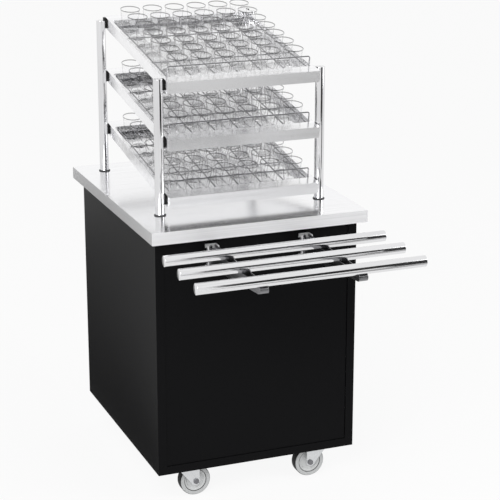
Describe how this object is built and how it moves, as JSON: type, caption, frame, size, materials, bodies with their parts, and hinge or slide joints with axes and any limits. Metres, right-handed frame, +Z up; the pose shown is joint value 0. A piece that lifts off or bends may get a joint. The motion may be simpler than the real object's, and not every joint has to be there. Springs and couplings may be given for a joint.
{
  "type": "glass and cup station",
  "caption": "Wheeled black cabinet with a polished worktop, a sloping tiered glass rack on round posts and a fold-down tubular tray slide.",
  "frame": {"origin": "centre of the bounding box at floor level", "axes": "+Z up, -Y towards the customer and the tray slide, +Y towards the operator, +X to the customer's right"},
  "size_m": [0.706, 1.25, 1.4564],
  "materials": {
    "worktop_steel": "polished stainless sheet",
    "black_panel": "satin black",
    "frame_steel": "plain stainless square tube",
    "shelf_steel": "mirror-polished stainless sheet",
    "post_steel": "polished stainless tube",
    "tube_steel": "polished stainless tube",
    "arm_steel": "satin stainless sheet",
    "wire_steel": "bright wire",
    "bolt_steel": "bright zinc-plated",
    "caster_zinc": "bright zinc-plated pressed steel",
    "saddle_plastic": "matte black",
    "wheel_plastic": "light grey moulded",
    "pedal_steel": "zinc-plated pressed strip",
    "glass": "clear"
  },
  "bodies": {
    "station": {"worktop": "worktop_steel", "worktop_channels": "frame_steel", "side_panel_left": "black_panel", "side_panel_right": "black_panel", "front_panel": "black_panel", "front_skirt": "black_panel", "rear_skirt": "black_panel", "uprights": "frame_steel", "top_rails": "frame_steel", "base_frame": "frame_steel", "cabinet_floor": "frame_steel", "middle_shelf": "frame_steel", "caster_plates": "caster_zinc", "slide_brackets": "arm_steel", "slide_pivot_bolts": "bolt_steel", "slide_lock_bolts": "bolt_steel", "saddles": "saddle_plastic", "post_front_left": "post_steel", "post_front_right": "post_steel", "post_rear_left": "post_steel", "post_rear_right": "post_steel", "shelf_top": "shelf_steel", "guard_top": "wire_steel", "lane_wires_top": "wire_steel", "glasses_top": "glass", "shelf_middle": "shelf_steel", "guard_middle": "wire_steel", "lane_wires_middle": "wire_steel", "glasses_middle": "glass", "shelf_bottom": "shelf_steel", "guard_bottom": "wire_steel", "lane_wires_bottom": "wire_steel", "glasses_bottom": "glass"},
    "tray_slide": {"slide_arm_left": "arm_steel", "slide_arm_right": "arm_steel", "slide_tube_rear": "tube_steel", "slide_tube_middle": "tube_steel", "slide_tube_front": "tube_steel"},
    "caster_front_left": {"fork_front_left": "caster_zinc", "axle_front_left": "bolt_steel"},
    "wheel_front_left": {"caster_wheel_front_left": "wheel_plastic"},
    "caster_front_right": {"fork_front_right": "caster_zinc", "axle_front_right": "bolt_steel"},
    "wheel_front_right": {"caster_wheel_front_right": "wheel_plastic"},
    "caster_rear_left": {"fork_rear_left": "caster_zinc", "axle_rear_left": "bolt_steel"},
    "wheel_rear_left": {"caster_wheel_rear_left": "wheel_plastic"},
    "caster_rear_right": {"fork_rear_right": "caster_zinc", "axle_rear_right": "bolt_steel"},
    "wheel_rear_right": {"caster_wheel_rear_right": "wheel_plastic"},
    "pedal_left": {"brake_pedal_left": "pedal_steel"},
    "pedal_right": {"brake_pedal_right": "pedal_steel"}
  },
  "joints": [
    {"name": "caster_swivel_front_left", "type": "hinge", "parent": "station", "child": "caster_front_left", "pos_m": [-0.228, -0.133, 0.12], "axis": [0, 0, 1], "continuous": true},
    {"name": "wheel_spin_front_left", "type": "hinge", "parent": "caster_front_left", "child": "wheel_front_left", "pos_m": [-0.196, -0.133, 0.05], "axis": [0, 1, 0], "continuous": true},
    {"name": "caster_swivel_front_right", "type": "hinge", "parent": "station", "child": "caster_front_right", "pos_m": [0.228, -0.133, 0.12], "axis": [0, 0, 1], "continuous": true},
    {"name": "wheel_spin_front_right", "type": "hinge", "parent": "caster_front_right", "child": "wheel_front_right", "pos_m": [0.196, -0.133, 0.05], "axis": [0, 1, 0], "continuous": true},
    {"name": "caster_swivel_rear_left", "type": "hinge", "parent": "station", "child": "caster_rear_left", "pos_m": [-0.228, 0.514, 0.12], "axis": [0, 0, 1], "continuous": true},
    {"name": "wheel_spin_rear_left", "type": "hinge", "parent": "caster_rear_left", "child": "wheel_rear_left", "pos_m": [-0.196, 0.514, 0.05], "axis": [0, 1, 0], "continuous": true},
    {"name": "caster_swivel_rear_right", "type": "hinge", "parent": "station", "child": "caster_rear_right", "pos_m": [0.228, 0.514, 0.12], "axis": [0, 0, 1], "continuous": true},
    {"name": "wheel_spin_rear_right", "type": "hinge", "parent": "caster_rear_right", "child": "wheel_rear_right", "pos_m": [0.196, 0.514, 0.05], "axis": [0, 1, 0], "continuous": true},
    {"name": "brake_pedal_press_left", "type": "hinge", "parent": "caster_rear_left", "child": "pedal_left", "pos_m": [-0.213, 0.514, 0.1046], "axis": [0, 1, 0], "range_deg": [0, 4]},
    {"name": "brake_pedal_press_right", "type": "hinge", "parent": "caster_rear_right", "child": "pedal_right", "pos_m": [0.213, 0.514, 0.1046], "axis": [0, -1, 0], "range_deg": [0, 4]},
    {"name": "tray_slide_fold", "type": "hinge", "parent": "station", "child": "tray_slide", "pos_m": [0, -0.202, 0.784], "axis": [1, 0, 0], "range_deg": [0, 90]}
  ]
}
